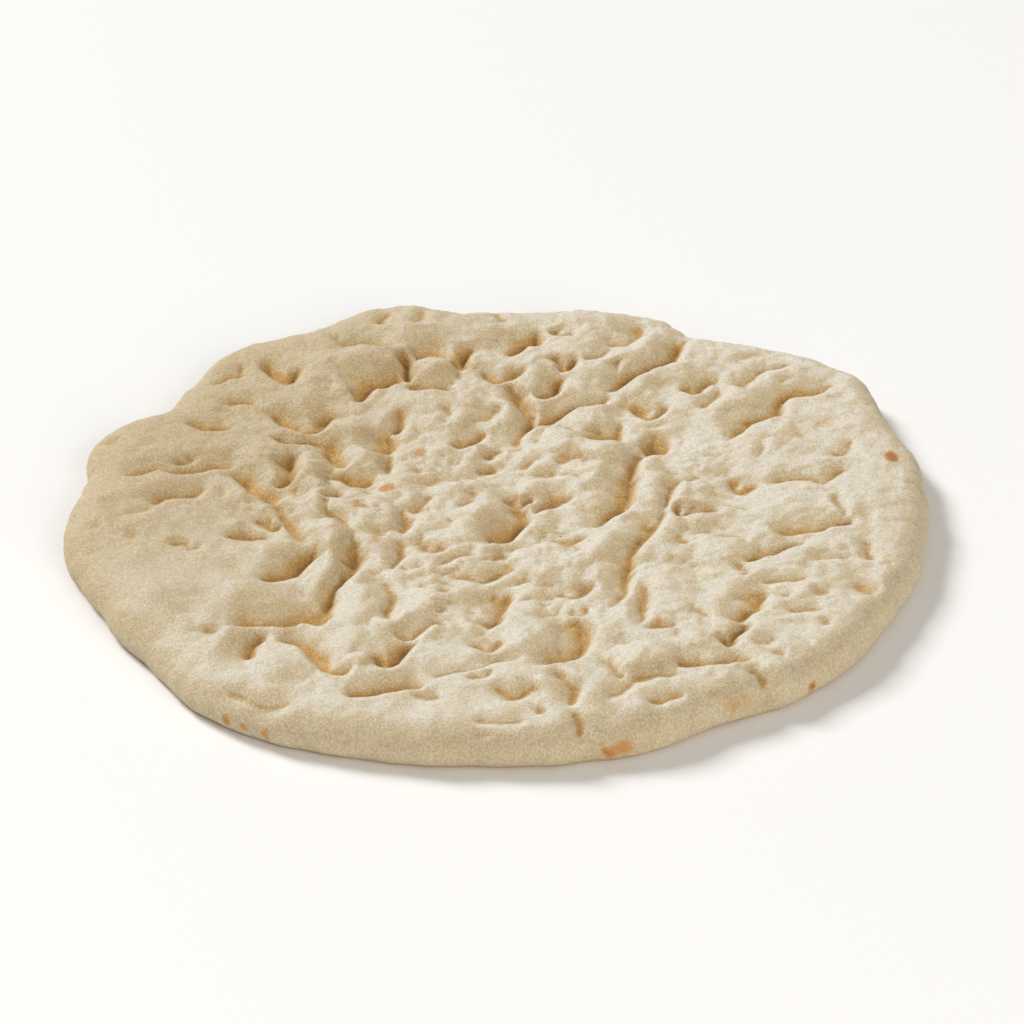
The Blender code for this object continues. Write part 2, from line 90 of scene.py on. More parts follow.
# How the dough settles round the folds, over about SETTLING millimetres.  A fold holds it
# HOLD times as firmly as it pulls, and by WEAKEST_GRIP of that where the fold is shallow.
# It is worked out in ROUNDS rounds at each cell size, from COARSEST cells across or fewer.
# Then it is smoothed RELAX times, and SINK of each hollow's depth is taken from the dough
# for SPREAD millimetres round it.
SETTLING = 9.0
HOLD = 50.0
WEAKEST_GRIP = 0.1
NO_GRIP = 1e-9
ROUNDS = 40
COARSEST = 84
RELAX = 1
SINK = 0.3
SPREAD = 7.0

# Unevenness of hand-stretched dough, as (wavelength, height) pairs: of the top, and of
# the lines of the folds.  A field of noise is NOISE_CELLS wavelengths wide, and a field of
# lumps as many lumps.
SWELLS = ((30.0, 1.3), (14.0, 0.7), (6.5, 0.3))
WANDER = ((11.0, 0.9), (5.0, 0.6), (2.6, 0.3))
NOISE_CELLS = 256

# A dent is deeper towards -Y and shallower towards +Y by this share at its ends.
DENT_SLANT = 0.5

# Lumps: (width, height, share of the height near the rim).  They fade between two radii.
LUMPS = ((20.0, 3.0, 0.25), (10.0, 1.5, 0.3))
LUMPS_BEGIN = 70.0
LUMPS_END = 105.0

# Crumbs: (width, height on whole skin, height on torn skin).  Whole skin gets smoother
# towards SMOOTH_SIDE, the near left: between two distances from the middle the crumbs sink
# to SMOOTH_SKIN of their height.
CRUMBS = ((5.0, 0.5, 1.0), (2.8, 0.3, 0.6))
SMOOTH_SIDE = (-0.6, -0.8)
SMOOTH_BEGINS = 35.0
SMOOTH_ENDS = 95.0
SMOOTH_SKIN = 0.4

# What is taken off a field of lumps so that it doesn't raise the dough on the whole, and
# the square of a lump's radius, in widths.
MEAN_LUMP = 0.4
LUMP_FOOT = 0.6

# Fineness of the mesh and of the plan fields that shape it.  A crease is what lies lower
# than the field after CREASE_PASSES passes of smoothing.
GRID_STEPS = 300
PLAN_HALF = 168.0
PLAN_STEP = 0.5
ROUTE_STEPS = 4
CREASE_PASSES = 8

# The edge's widest line: (angle from +X in degrees, radius in millimetres).
EDGE = (
    (0, 148.5), (12, 151), (24, 152.5), (33, 158), (42, 156), (50, 149.5), (60, 145), (66, 151),
    (74, 146.5), (82, 143), (90, 141.5), (96, 143), (102, 151), (109, 152), (117, 148.5),
    (133, 148), (143, 144), (150, 138.5), (157, 147.5), (162, 150), (174, 146.5), (191, 149),
    (204, 144), (220, 147), (234, 151.5), (252, 148), (270, 146.5), (290, 146), (301, 141.5),
    (313, 146.5), (336, 144.5), (352, 148),
)

# Folds: (depth, reach, route), in millimetres.  The hollow is on the left of the
# route, the lip of dough on its right.
FOLDS = (
    # Far left
    (2.1, 9, [(-65, 121), (-62, 116), (-56, 111), (-47, 111), (-39, 104)]),
    (9.0, 6, [(-32, 84), (-33, 99), (-35, 103), (-38, 104)]),
    (9.0, 9, [(-21, 106), (-17, 102), (-14, 97), (-13, 106), (-9, 112)]),
    (9.0, 16, [(-54, 73), (-50, 72), (-46, 81), (-43, 82), (-38, 86), (-32, 84)]),
    (5.3, 10, [(-35, 84), (-28, 79), (-20, 78), (-13, 78)]),
    (4.9, 12, [(-33, 101), (-29, 100), (-24, 107), (-19, 100)]),
    (9.0, 17, [(-86, 66), (-82, 62), (-76, 55), (-66, 51), (-60, 60), (-49, 61)]),
    (8.0, 8, [(-85, 102), (-83, 93), (-79, 87), (-75, 84), (-72, 96)]),
    (3.5, 8, [(-106, 88), (-103, 84), (-98, 89), (-93, 90), (-94, 99)]),
    (1.9, 5, [(-98, 66), (-93, 70), (-86, 67)]),
    (6.0, 10, [(-112, 52), (-107, 52), (-103, 50), (-98, 51), (-94, 53)]),
    (5.6, 8, [(-82, 46), (-77, 44), (-71, 43), (-66, 44), (-61, 39)]),
    # Far middle
    (7.6, 11, [(1, 107), (4, 105), (9, 113), (14, 113), (13, 124)]),
    (4.3, 10, [(19, 121), (22, 118), (25, 116), (29, 116)]),
    (2.4, 10, [(38, 105), (41, 110), (47, 112), (54, 127)]),
    (2.2, 7, [(29, 101), (31, 98), (36, 101), (42, 106)]),
    (6.0, 12, [(-10, 96), (-6, 92), (-3, 87), (1, 86), (8, 93), (8, 97)]),
    (6.7, 5, [(17, 103), (21, 98), (23, 93), (26, 97), (25, 101)]),
    (7.8, 11, [(10, 77), (14, 76), (20, 78), (22, 86), (27, 87)]),
    (9.0, 7, [(11, 46), (11, 60), (10, 66), (6, 78), (0, 84)]),
    (4.9, 11, [(-19, 44), (-15, 41), (-11, 42), (-6, 49), (-3, 53)]),
    (4.6, 5, [(-41, 53), (-38, 52), (-35, 55), (-34, 62), (-37, 67)]),
    (1.7, 4, [(-19, 52), (-18, 62), (-20, 68)]),
    (1.7, 10, [(-14, 57), (-10, 57), (-6, 59), (-2, 64), (-2, 69)]),
    (1.6, 5, [(42, 89), (43, 95), (42, 98)]),
    (2.1, 4, [(-45, 124), (-43, 133), (-40, 137)]),
    (1.7, 4, [(-32, 122), (-29, 131), (-28, 138)]),
    (1.4, 4, [(-2, 139), (-1, 131), (3, 126)]),
    # The long fold from the middle out to the far rim
    (6.0, 10, [(5, 37), (10, 53), (18, 62), (27, 68), (34, 70), (39, 74), (41, 83)]),
    (7.2, 9, [(36, 73), (41, 81), (50, 90), (62, 98), (66, 112), (70, 122)]),
    # Far right
    (4.4, 10, [(27, 45), (32, 48), (41, 48), (43, 56), (42, 62)]),
    (6.6, 11, [(43, 68), (47, 69), (53, 62), (57, 64), (61, 70)]),
    (5.3, 11, [(63, 80), (68, 79), (71, 77), (75, 83), (81, 85)]),
    (2.5, 6, [(70, 68), (74, 67), (78, 74), (80, 79)]),
    (0.6, 3, [(85, 98), (90, 102), (96, 103)]),
    (2.0, 6, [(84, 74), (89, 83), (95, 92), (102, 95), (104, 102)]),
    (1.2, 3, [(97, 75), (101, 82), (105, 85)]),
    (6.6, 13, [(75, 44), (79, 41), (90, 55), (99, 62), (103, 74), (116, 76), (123, 85)]),
    # Near the right edge
    (8.1, 12, [(61, 3), (61, -7), (66, -7), (73, -6), (78, -2)]),
    (3.9, 10, [(80, 20), (81, 13), (84, 10), (87, 12), (91, 14)]),
    (3.4, 8, [(88, 14), (93, 13), (101, 15), (108, 15), (112, 12), (118, 18), (128, 19)]),
    (2.2, 3, [(118, -16), (118, -8), (116, 1), (115, 6)]),
    (6.2, 14, [(94, -26), (99, -22), (105, -20), (112, -17), (119, -16), (119, -10)]),
    (4.2, 9, [(81, -34), (84, -38), (89, -35), (95, -33), (107, -25)]),
    (1.1, 6, [(62, -20), (68, -19), (76, -23), (87, -22)]),
    (1.9, 4, [(84, -51), (82, -43), (81, -40)]),
    (1.2, 6, [(102, -51), (104, -44), (107, -41), (115, -40), (123, -38)]),
    (2.2, 4, [(124, -42), (125, -32), (124, -26)]),
    (1.9, 5, [(86, -56), (93, -53), (100, -53), (105, -52)]),
    (1.7, 6, [(84, -60), (92, -62), (99, -64)]),
    (2.6, 9, [(92, -70), (97, -71), (104, -72), (110, -71)]),
    (2.0, 5, [(114, 32), (120, 33), (122, 35), (124, 42)]),
    (0.8, 3, [(92, 28), (92, 35), (91, 40)]),
    # Left
    (2.3, 5, [(-115, 24), (-110, 24), (-108, 28), (-108, 31)]),
    (3.4, 8, [(-133, 13), (-122, 18), (-117, 19), (-109, 18), (-98, 25), (-87, 26)]),
    (9.0, 14, [(-96, 20), (-90, 18), (-85, 9), (-80, 7), (-76, 0)]),
    (5.5, 5, [(-80, 8), (-76, 0), (-70, -16), (-65, -30)]),
    (8.4, 10, [(-82, 17), (-77, 14), (-72, 19), (-72, 31), (-72, 38)]),
    (2.6, 6, [(-77, 0), (-73, -4), (-69, -4)]),
    (5.5, 7, [(-68, 47), (-62, 41), (-57, 33), (-53, 22)]),
    (4.9, 8, [(-84, -9), (-79, -12), (-76, -15), (-73, -9)]),
    (8.4, 15, [(-82, -48), (-77, -50), (-70, -46), (-65, -38), (-62, -33), (-60, -28)]),
    (4.8, 6, [(-56, -75), (-56, -60), (-51, -49), (-49, -41), (-49, -27), (-50, -21)]),
    (4.7, 5, [(-50, -22), (-54, -11), (-59, -5), (-60, 5), (-64, 7)]),
    (4.6, 9, [(-63, 6), (-61, 4), (-58, 5), (-53, 8)]),
    (4.5, 8, [(-95, -20), (-91, -23), (-86, -22), (-81, -22), (-80, -18)]),
    (1.7, 4, [(-113, -32), (-107, -30), (-104, -33), (-99, -30)]),
    (3.3, 7, [(-119, -8), (-115, 1), (-108, 3), (-104, 5), (-101, 14)]),
    (1.0, 5, [(-130, -12), (-122, -9), (-116, -7)]),
    # Middle
    (6.1, 12, [(-58, 22), (-53, 18), (-50, 15), (-46, 17), (-41, 16)]),
    (3.3, 5, [(-40, 17), (-38, 26), (-38, 33), (-40, 45)]),
    (6.8, 11, [(-49, 37), (-44, 35), (-39, 39), (-39, 49), (-38, 54)]),
    (2.7, 7, [(-48, -2), (-44, -4), (-39, -3)]),
    (3.1, 5, [(-34, -21), (-31, -10), (-32, -4), (-35, -2)]),
    (2.6, 5, [(-37, -44), (-33, -30), (-33, -24), (-34, -20)]),
    (1.3, 6, [(-27, 3), (-25, 11), (-21, 17), (-15, 18), (-8, 17), (-1, 12)]),
    (3.0, 7, [(-33, -1), (-28, -4), (-26, 0), (-24, 5), (-21, 8)]),
    (2.3, 7, [(-16, 0), (-13, 0), (-9, 3), (-8, 9), (-9, 11)]),
    (8.5, 11, [(-4, -30), (0, -22), (8, -11), (9, -4), (4, 6), (0, 9)]),
    (5.4, 10, [(0, 7), (3, 5), (6, 3), (10, 5), (11, 9)]),
    (3.9, 9, [(9, -6), (13, -3), (20, 7), (24, 8), (27, 10)]),
    (0.9, 5, [(8, 24), (15, 22), (23, 20), (31, 19), (36, 22)]),
    (1.5, 6, [(19, 28), (21, 27), (23, 30), (29, 32)]),
    (1.7, 6, [(6, 28), (9, 27), (12, 30), (17, 34)]),
    (2.8, 6, [(-10, 23), (-7, 24), (-4, 25), (-1, 28)]),
    (3.1, 6, [(-7, 33), (-4, 34), (-2, 37), (0, 41)]),
    (6.6, 12, [(27, -17), (38, -6), (43, 2), (46, 17), (47, 25), (51, 35), (60, 44)]),
    (5.0, 9, [(36, -72), (42, -54), (44, -38), (50, -23), (58, 1), (61, 12), (66, 24)]),
    (1.3, 6, [(19, -22), (23, -24), (26, -22), (28, -18)]),
    (1.2, 5, [(-7, -34), (-3, -36), (0, -34), (5, -31)]),
    (2.4, 7, [(-23, -37), (-20, -39), (-17, -35), (-13, -33), (-5, -32)]),
    (2.2, 7, [(-27, -24), (-24, -29), (-20, -29), (-17, -27)]),
    (2.2, 6, [(-35, -35), (-32, -41), (-28, -41), (-25, -39)]),
    (2.5, 8, [(-22, -42), (-16, -45), (-10, -46), (-4, -48), (1, -43), (8, -42)]),
    (4.0, 11, [(17, -56), (21, -57), (26, -58), (31, -53), (33, -49)]),
    (1.1, 5, [(2, -52), (9, -48), (15, -50), (20, -54)]),
    # Near left
    (9.0, 15, [(-91, -80), (-86, -80), (-76, -77), (-70, -77), (-64, -74), (-53, -79)]),
    (0.6, 5, [(-104, -86), (-96, -84), (-89, -86)]),
    (5.7, 8, [(-82, -103), (-80, -90), (-76, -86), (-74, -83)]),
    (9.0, 13, [(-74, -85), (-63, -92), (-56, -105), (-51, -107), (-47, -106), (-43, -105)]),
    (9.0, 12, [(-44, -96), (-40, -98), (-36, -103), (-33, -99), (-29, -91), (-24, -90)]),
    (4.6, 11, [(-37, -82), (-33, -85), (-29, -87), (-27, -85), (-23, -80), (-14, -78)]),
    (3.1, 8, [(-35, -83), (-36, -72), (-35, -60), (-41, -43)]),
    (1.6, 6, [(-90, -118), (-83, -121), (-77, -126), (-70, -128), (-63, -126)]),
    # Near middle
    (5.1, 13, [(-13, -76), (-6, -76), (-1, -77), (1, -67), (5, -51)]),
    (1.3, 6, [(-24, -70), (-20, -72), (-17, -68), (-13, -62)]),
    (4.3, 10, [(-10, -90), (-5, -93), (-2, -95), (0, -91), (2, -85)]),
    (7.0, 11, [(-52, -121), (-46, -121), (-41, -120), (-32, -117), (-22, -115)]),
    (1.7, 7, [(-26, -114), (-20, -109), (-14, -107), (-7, -107), (-2, -103), (5, -103), (13, -102)]),
    (6.1, 13, [(9, -104), (15, -104), (21, -99), (28, -92), (29, -80), (22, -67)]),
    (3.2, 7, [(21, -69), (25, -70), (28, -70), (30, -64)]),
    (2.1, 6, [(-12, -111), (-8, -113), (-4, -112), (-2, -105)]),
    (1.6, 6, [(-28, -121), (-24, -123), (-21, -123), (-19, -120)]),
    (2.9, 7, [(-4, -118), (1, -120), (6, -123), (10, -120), (15, -120)]),
    (4.8, 7, [(23, -131), (25, -122), (24, -118), (17, -107)]),
    (1.8, 7, [(-10, -135), (-4, -137), (3, -137), (11, -135)]),
    (3.2, 5, [(27, -143), (26, -138), (24, -131)]),
    # Near right
    (2.2, 5, [(48, -81), (48, -71), (48, -62), (49, -55), (49, -48)]),
    (3.3, 8, [(50, -77), (52, -80), (57, -79), (60, -75)]),
    (2.2, 5, [(36, -97), (36, -106), (41, -117)]),
    (1.0, 3, [(62, -63), (66, -69), (70, -75)]),
    (7.2, 10, [(79, -79), (82, -71), (86, -68), (87, -62), (93, -61)]),
    (5.6, 7, [(71, -82), (73, -86), (76, -90), (77, -85), (80, -82), (81, -75)]),
    (5.1, 12, [(56, -103), (61, -104), (68, -103), (75, -101), (85, -99)]),
    (1.7, 6, [(83, -90), (87, -91), (89, -90), (92, -85)]),
    (2.3, 7, [(33, -129), (42, -118), (46, -114), (53, -111), (63, -111)]),
    (4.0, 10, [(46, -124), (50, -126), (54, -124), (61, -120)]),
    (3.0, 5, [(81, -105), (84, -109), (89, -113)]),
)

# Finger dents: (x, y, half width, half length, depth), deepest towards -Y.
DENTS = (
    (55.5, 44, 5.5, 9, 5.0),
    (-133, -5, 4.5, 6, 1.0), (-131, -14, 3.5, 5, 0.7), (-137, -18, 3, 5, 0.7),
    (-126, 20, 6, 8, 0.9), (-124, -24, 3, 5, 1.0), (-97, 7, 4, 5, 1.0),
    (-137, 42, 4, 6, 1.2), (-94, -83, 3, 3, 0.9),
    (115, 52, 4, 6, 0.5), (125, -10, 5, 9, 1.0), (62, -24, 2.5, 4, 1.5),
    (123, -56, 5, 6, 1.8), (107, -60, 4, 4, 1.4), (108, -79, 2.5, 2.5, 1.1),
    (91, -96, 3, 3, 0.9), (31, 27, 3, 4, 1.2), (-24, -53, 3, 3, 0.9),
    (-17, -56, 2.5, 4, 1.3), (14, -131, 2, 3, 1.3), (-5, -142, 3.5, 2, 0.8),
    (-28, 23, 2, 3, 1.2),
)

# Pillows of dough: (x, y, half width, half length, height).
PILLOWS = (
    (-47, 97, 13, 13, 2.72), (-24, 91, 9, 12, 3.4), (-24, 66, 24, 18, 2.04),
    (-50, 28, 9, 12, 3.06), (-66, 22, 7, 15, 2.04), (-61, 2, 5, 13, 2.38),
    (-56, -24, 6, 15, 2.89), (-59, -52, 7, 17, 2.55), (-45, -62, 11, 19, 2.72),
    (-41, -8, 8, 10, 2.72), (-41, -31, 7, 12, 2.21), (-10, 1, 15, 18, 2.38),
    (9, -84, 12, 20, 1.87), (-70, -102, 13, 14, 2.04), (-45, -101, 6, 5, 3.06),
    (8, -112, 26, 11, 2.21), (47, -101, 13, 12, 2.55), (56, -45, 10, 42, 1.87),
    (52, 12, 7, 26, 1.7),
)

# Where the skin of the dough is torn and crumbly: (x, y, half width, half length).
CRUMBLY = (
    (-17, 30, 13, 12), (71, 27, 10, 19), (20, -15, 12, 8), (-2, -32, 6, 8), (25, -70, 6, 7),
    (14, -58, 9, 8), (-98, -78, 12, 7), (-24, -46, 14, 8), (96, 44, 10, 12), (-88, 2, 12, 9),
)

# Browned blisters: (x, y, height, half width, half length, how brown).
BLISTERS = (
    (137, 28, 14, 2.6, 4.8, 1.25), (105, 44, 13, 3.6, 3.2, 0.45), (115, 53, 13, 4, 5, 0.45),
    (-34, 43, 12, 2.8, 2.4, 0.35), (-28, 34, 12, 2, 3, 0.65), (-39, 10, 12, 3.2, 3.2, 0.75),
    (-49, -2, 13, 1.8, 4.4, 0.6), (-12, -8, 13, 3.6, 2.8, 0.3), (-10, -10, 13, 1.7, 2.2, 0.35),
    (-10, 11, 12, 1.2, 2, 0.4), (-42, -27, 13, 3.4, 2.4, 0.4), (-44, -28, 13, 1.5, 2, 0.3),
    (-45, -34, 10, 1.8, 3, 0.4), (-57, -23, 14, 1.8, 2.4, 0.3), (-44, -51, 13, 2.2, 2.6, 0.35),
    (-17, -42, 11, 3, 1.8, 0.4), (-17, -57, 12, 2, 2.8, 0.55), (-24, -57, 14, 2.6, 2.4, 0.3),
    (23, 32, 11, 2.8, 2.4, 0.55), (53, -79, 13, 3.6, 3.4, 0.55), (57, 12, 12, 2, 3.5, 0.25),
    (50, 20, 13, 2, 3, 0.2), (103, -105, 3.5, 2.6, 3.4, 1.6), (36, -143, 2.5, 3.8, 3.4, 1.5),
    (41, -141, 5, 4.6, 3, 0.8), (31, -144, 2, 3, 2, 0.95), (75, -120, 9, 5, 3, 0.45),
    (71, -125, 2, 2.6, 2, 1.35), (79, -117, 9, 3, 2.6, 0.4), (69, -119, 13, 3, 1.4, 0.45),
    (84, -117, 6, 1.6, 1.6, 0.45), (-88, -125, 4, 2.4, 2, 1.0), (-84, -128, 4, 1.6, 1.4, 0.6),
    (-82, -129, 4, 2.6, 1.8, 0.9), (-74, -132, 4, 2.2, 1.6, 0.6), (-85, -124, 8, 1.6, 1.2, 0.35),
    (-133, -5, 14, 4.5, 6, 0.25), (-131, -16, 15, 3.5, 5, 0.25), (-137, -18, 14, 3, 6, 0.3),
    (-125, -26, 14, 3, 5, 0.15),
)


def smooth_step(low, high, value):
    """Ease from 0 at low to 1 at high."""
    share = np.clip((value - low) / (high - low), 0.0, 1.0)
    return share * share * (3.0 - 2.0 * share)


def edge_radius(angle):
    """Radius of the widest line at an angle in radians, smooth through EDGE."""
    degrees = np.degrees(angle) % 360.0
    marks = np.array([mark for mark, _ in EDGE], float)
    radii = np.array([radius for _, radius in EDGE], float)
    marks = np.concatenate((marks[-2:] - 360.0, marks, marks[:2] + 360.0))
    radii = np.concatenate((radii[-2:], radii, radii[:2]))
    place = np.clip(np.searchsorted(marks, degrees, side="right") - 1, 1, len(marks) - 3)
    before, start, end, after = (radii[place + k] for k in (-1, 0, 1, 2))
    span = marks[place + 1] - marks[place]
    share = (degrees - marks[place]) / span
    slope_in = (end - before) * span / (marks[place + 1] - marks[place - 1])
    slope_out = (after - start) * span / (marks[place + 2] - marks[place])
    square, cube = share ** 2, share ** 3
    return (
        start * (2 * cube - 3 * square + 1)
        + slope_in * (cube - 2 * square + share)
        + end * (3 * square - 2 * cube)
        + slope_out * (cube - square)
    )


def waves(points, layers, seed):
    """Smooth noise over plan points: the sum of (wavelength, height) layers."""
    draw = np.random.default_rng(seed)
    total = np.zeros(len(points))
    for wavelength, height in layers:
        turn = draw.uniform(0.0, math.pi)
        heights = draw.uniform(-1.0, 1.0, (NOISE_CELLS, NOISE_CELLS))
        across = points @ (math.cos(turn), math.sin(turn)) / wavelength + NOISE_CELLS / 2
        along = points @ (-math.sin(turn), math.cos(turn)) / wavelength + NOISE_CELLS / 2
        column, row = across.astype(int), along.astype(int)
        u, v = across - column, along - row
        u, v = u * u * (3.0 - 2.0 * u), v * v * (3.0 - 2.0 * v)
        near = heights[row, column] * (1.0 - u) + heights[row, column + 1] * u
        far = heights[row + 1, column] * (1.0 - u) + heights[row + 1, column + 1] * u
        total += height * (near * (1.0 - v) + far * v)
    return total


def lumps(points, size, seed):
    """Rounded lumps about size millimetres across, of random heights, and 0 between them."""
    draw = np.random.default_rng(seed)
    shift = draw.uniform(0.0, 1.0, (2, NOISE_CELLS, NOISE_CELLS))
    heights = draw.uniform(0.2, 1.0, (NOISE_CELLS, NOISE_CELLS))
    place = points / size + NOISE_CELLS / 2
    cell = place.astype(int)
    highest = np.zeros(len(points))
    for right, up in itertools.product((-1, 0, 1), repeat=2):
        column, row = cell[:, 0] + right, cell[:, 1] + up
        across = place[:, 0] - column - shift[0, row, column]
        along = place[:, 1] - row - shift[1, row, column]
        lump = heights[row, column] * (1.0 - (across ** 2 + along ** 2) / LUMP_FOOT)
        highest = np.maximum(highest, lump)
    return highest


def relaxed(field, passes):
    """A plan field smoothed a little in both directions."""
    for _ in range(passes):
        for axis in (0, 1):
            field = (np.roll(field, 1, axis) + 2.0 * field + np.roll(field, -1, axis)) / 4.0
    return field


def broadened(field):
    """A plan field spread over SPREAD millimetres, worked out on cells eight times as wide."""
    coarse = halved(halved(halved(field)))
    coarse = relaxed(coarse, round(2.0 * (SPREAD / (8.0 * PLAN_STEP)) ** 2))
    for _ in range(3):
        coarse = relaxed(coarse.repeat(2, axis=0).repeat(2, axis=1), 2)
    return coarse


def halved(field):
    """A plan field on cells twice as wide."""
    size = len(field) // 2
    return field.reshape(size, 2, size, 2).mean(axis=(1, 3))


def settle(target, grip, length, step):
    """Let the dough settle round its folds, from coarse cells to fine ones.

    Every cell takes its neighbours' height, is held at the target where there is
    grip, and comes back to the plain level over about the length.
    """
    if len(target) > COARSEST:
        coarse_grip = halved(grip)
        coarse_target = halved(target * grip) / np.maximum(coarse_grip, NO_GRIP)
        coarse = settle(coarse_target, coarse_grip, length, 2 * step)
        height = coarse.repeat(2, axis=0).repeat(2, axis=1)
    else:
        height = np.zeros_like(target)
    pull = (length / step) ** 2
    hold = HOLD * pull * grip
    for _ in range(ROUNDS):
        around = sum(np.roll(height, way, axis) for way in (1, -1) for axis in (0, 1))
        height = (hold * target + pull * around) / (hold + 1.0 + 4.0 * pull)
    return height


def sampled(field, points):
    """A plan field read at any plan points."""
    place = (points + PLAN_HALF) / PLAN_STEP - 0.5
    column, row = place.astype(int).T
    u, v = (place - place.astype(int)).T
    near = field[row, column] * (1.0 - u) + field[row, column + 1] * u
    far = field[row + 1, column] * (1.0 - u) + field[row + 1, column + 1] * u
    return near * (1.0 - v) + far * v


def smooth_route(points):
    """A curve through a fold's route, as short straight steps."""
    knots = np.array([points[0], *points, points[-1]], float)
    path = []
    for before, start, end, after in zip(knots, knots[1:], knots[2:], knots[3:]):
        for step in range(ROUTE_STEPS):
            t = step / ROUTE_STEPS
            path.append(0.5 * (
                2 * start + (end - before) * t
                + (2 * before - 5 * start + 4 * end - after) * t ** 2
                + (3 * start - before - 3 * end + after) * t ** 3
            ))
    path.append(knots[-1])
    return np.array(path)


def fold_marks(points, depth, reach, route):
    """Where one fold shapes the dough: the places, their heights and how strongly.

    On the left the dough rolls down to the crease as the flank of a bulge, on the
    right it stands up again in a lip.
    """
    path = smooth_route(route)
    widest = max(reach, LIP_ROLL)
    low, high = path.min(axis=0) - widest, path.max(axis=0) + widest
    near = np.flatnonzero(np.all((points > low) & (points < high), axis=1))
    starts, steps = path[:-1], np.diff(path, axis=0)
    lengths = np.hypot(*steps.T)
    along_start = np.concatenate(([0.0], np.cumsum(lengths)[:-1]))
    offset = points[near][:, None, :] - starts[None]
    share = np.clip((offset * steps).sum(axis=2) / lengths ** 2, 0.0, 1.0)
    gap = offset - share[..., None] * steps
    distance = np.hypot(gap[..., 0], gap[..., 1])
    nearest = distance.argmin(axis=1)
    rows = np.arange(len(near))
    away = distance[rows, nearest]
    step, off = steps[nearest], offset[rows, nearest]
    on_left = step[:, 0] * off[:, 1] - step[:, 1] * off[:, 0] > 0
    along = (along_start[nearest] + share[rows, nearest] * lengths[nearest]) / lengths.sum()
    taper = smooth_step(0.0, FADES_OVER, along) * smooth_step(0.0, FADES_OVER, 1.0 - along)
    roll = np.clip(away / LIP_ROLL, 0.0, 1.0)
    lip = LIP_RAISE * roll * roll - (1.0 - roll) ** 2
    rise = np.clip((away - CREASE) / (reach - CREASE), 0.0, 1.0)
    round_flank, soft_flank = np.sqrt(1.0 - (1.0 - rise) ** 2), np.sin(math.pi / 2 * rise)
    bulge = FLANK_ROUNDNESS * round_flank + (1.0 - FLANK_ROUNDNESS) * soft_flank
    flank = (1.0 + FLANK_RAISE) * bulge - 1.0
    height = depth * taper * np.where(on_left, flank, lip)
    held = away < np.where(on_left, reach, LIP_ROLL)
    grip = held * taper ** 2 * (WEAKEST_GRIP + np.minimum(height, 0.0) ** 2)
    return near, height, grip


def dome(points, x, y, half_width, half_length):
    """Height of a dome over an ellipse, 1 in its middle, and the place along its length."""
    across = (points[:, 0] - x) / half_width
    along = (points[:, 1] - y) / half_length
    return np.clip(1.0 - across ** 2 - along ** 2, 0.0, 1.0), along


def relief():
    """Plan fields: height over the plain top, depth in a hollow and depth in a crease."""
    line = np.arange(-PLAN_HALF, PLAN_HALF, PLAN_STEP) + PLAN_STEP / 2
    across, along = np.meshgrid(line, line)
    points = np.column_stack((across.ravel(), along.ravel()))
    swell = waves(points, SWELLS, seed=1)
    wander = [waves(points, WANDER, seed) for seed in (2, 3)]
    points = points + np.column_stack(wander)
    shape = (len(line), len(line))
    target = np.zeros(len(points))
    grip = np.zeros(len(points))
    for depth, reach, route in FOLDS:
        kept = KEPT * depth ** KEPT_POWER
        places, height, strength = fold_marks(points, kept, FLANK_WIDTH * reach, route)
        target[places] += height * strength
        grip[places] += strength
    target /= np.maximum(grip, NO_GRIP)
    grip = np.minimum(grip, 1.0).reshape(shape)
    folded = settle(target.reshape(shape), grip, SETTLING, PLAN_STEP)
    dented = np.zeros(len(points))
    for x, y, half_width, half_length, depth in DENTS:
        level, slant = dome(points, x, y, half_width, half_length)
        dented += depth * level * (1.0 - DENT_SLANT * slant)
    middle = 1.0 - smooth_step(LUMPS_BEGIN, LUMPS_END, np.hypot(*points.T))
    raised = swell
    for number, (size, height, outside) in enumerate(LUMPS):
        high = lumps(points, size, seed=10 + number) - MEAN_LUMP
        raised += height * (outside + (1.0 - outside) * middle) * high
    smooth = smooth_step(SMOOTH_BEGINS, SMOOTH_ENDS, points @ SMOOTH_SIDE)
    rough = SMOOTH_SKIN + (1.0 - SMOOTH_SKIN) * (1.0 - smooth)
    crumbly = sum(np.sqrt(dome(points, *place)[0]) for place in CRUMBLY)
    for number, (size, height, torn) in enumerate(CRUMBS):
        high = lumps(points, size, seed=12 + number) - MEAN_LUMP
        raised += (height * rough + (torn - height) * crumbly) * high
    for x, y, half_width, half_length, height in PILLOWS:
        raised += height * dome(points, x, y, half_width, half_length)[0]
    folded = relaxed(folded - dented.reshape(shape), RELAX)
    lift = raised.reshape(shape) + folded - SINK * broadened(np.maximum(-folded, 0.0))
    return lift, broadened(lift) - lift, relaxed(lift, CREASE_PASSES) - lift


def disc_places(a, b):
    """Angle and share of the radius for a square grid's points wrapped onto a disc."""
    wide = np.abs(a) > np.abs(b)
    share = np.where(wide, a, b)
    safe = np.where(share == 0.0, 1.0, share)
    angle = np.where(wide, math.pi / 4 * b / safe, math.pi / 2 - math.pi / 4 * a / safe)
    angle = np.where(share < 0.0, angle + math.pi, angle)
    return angle, np.abs(share)


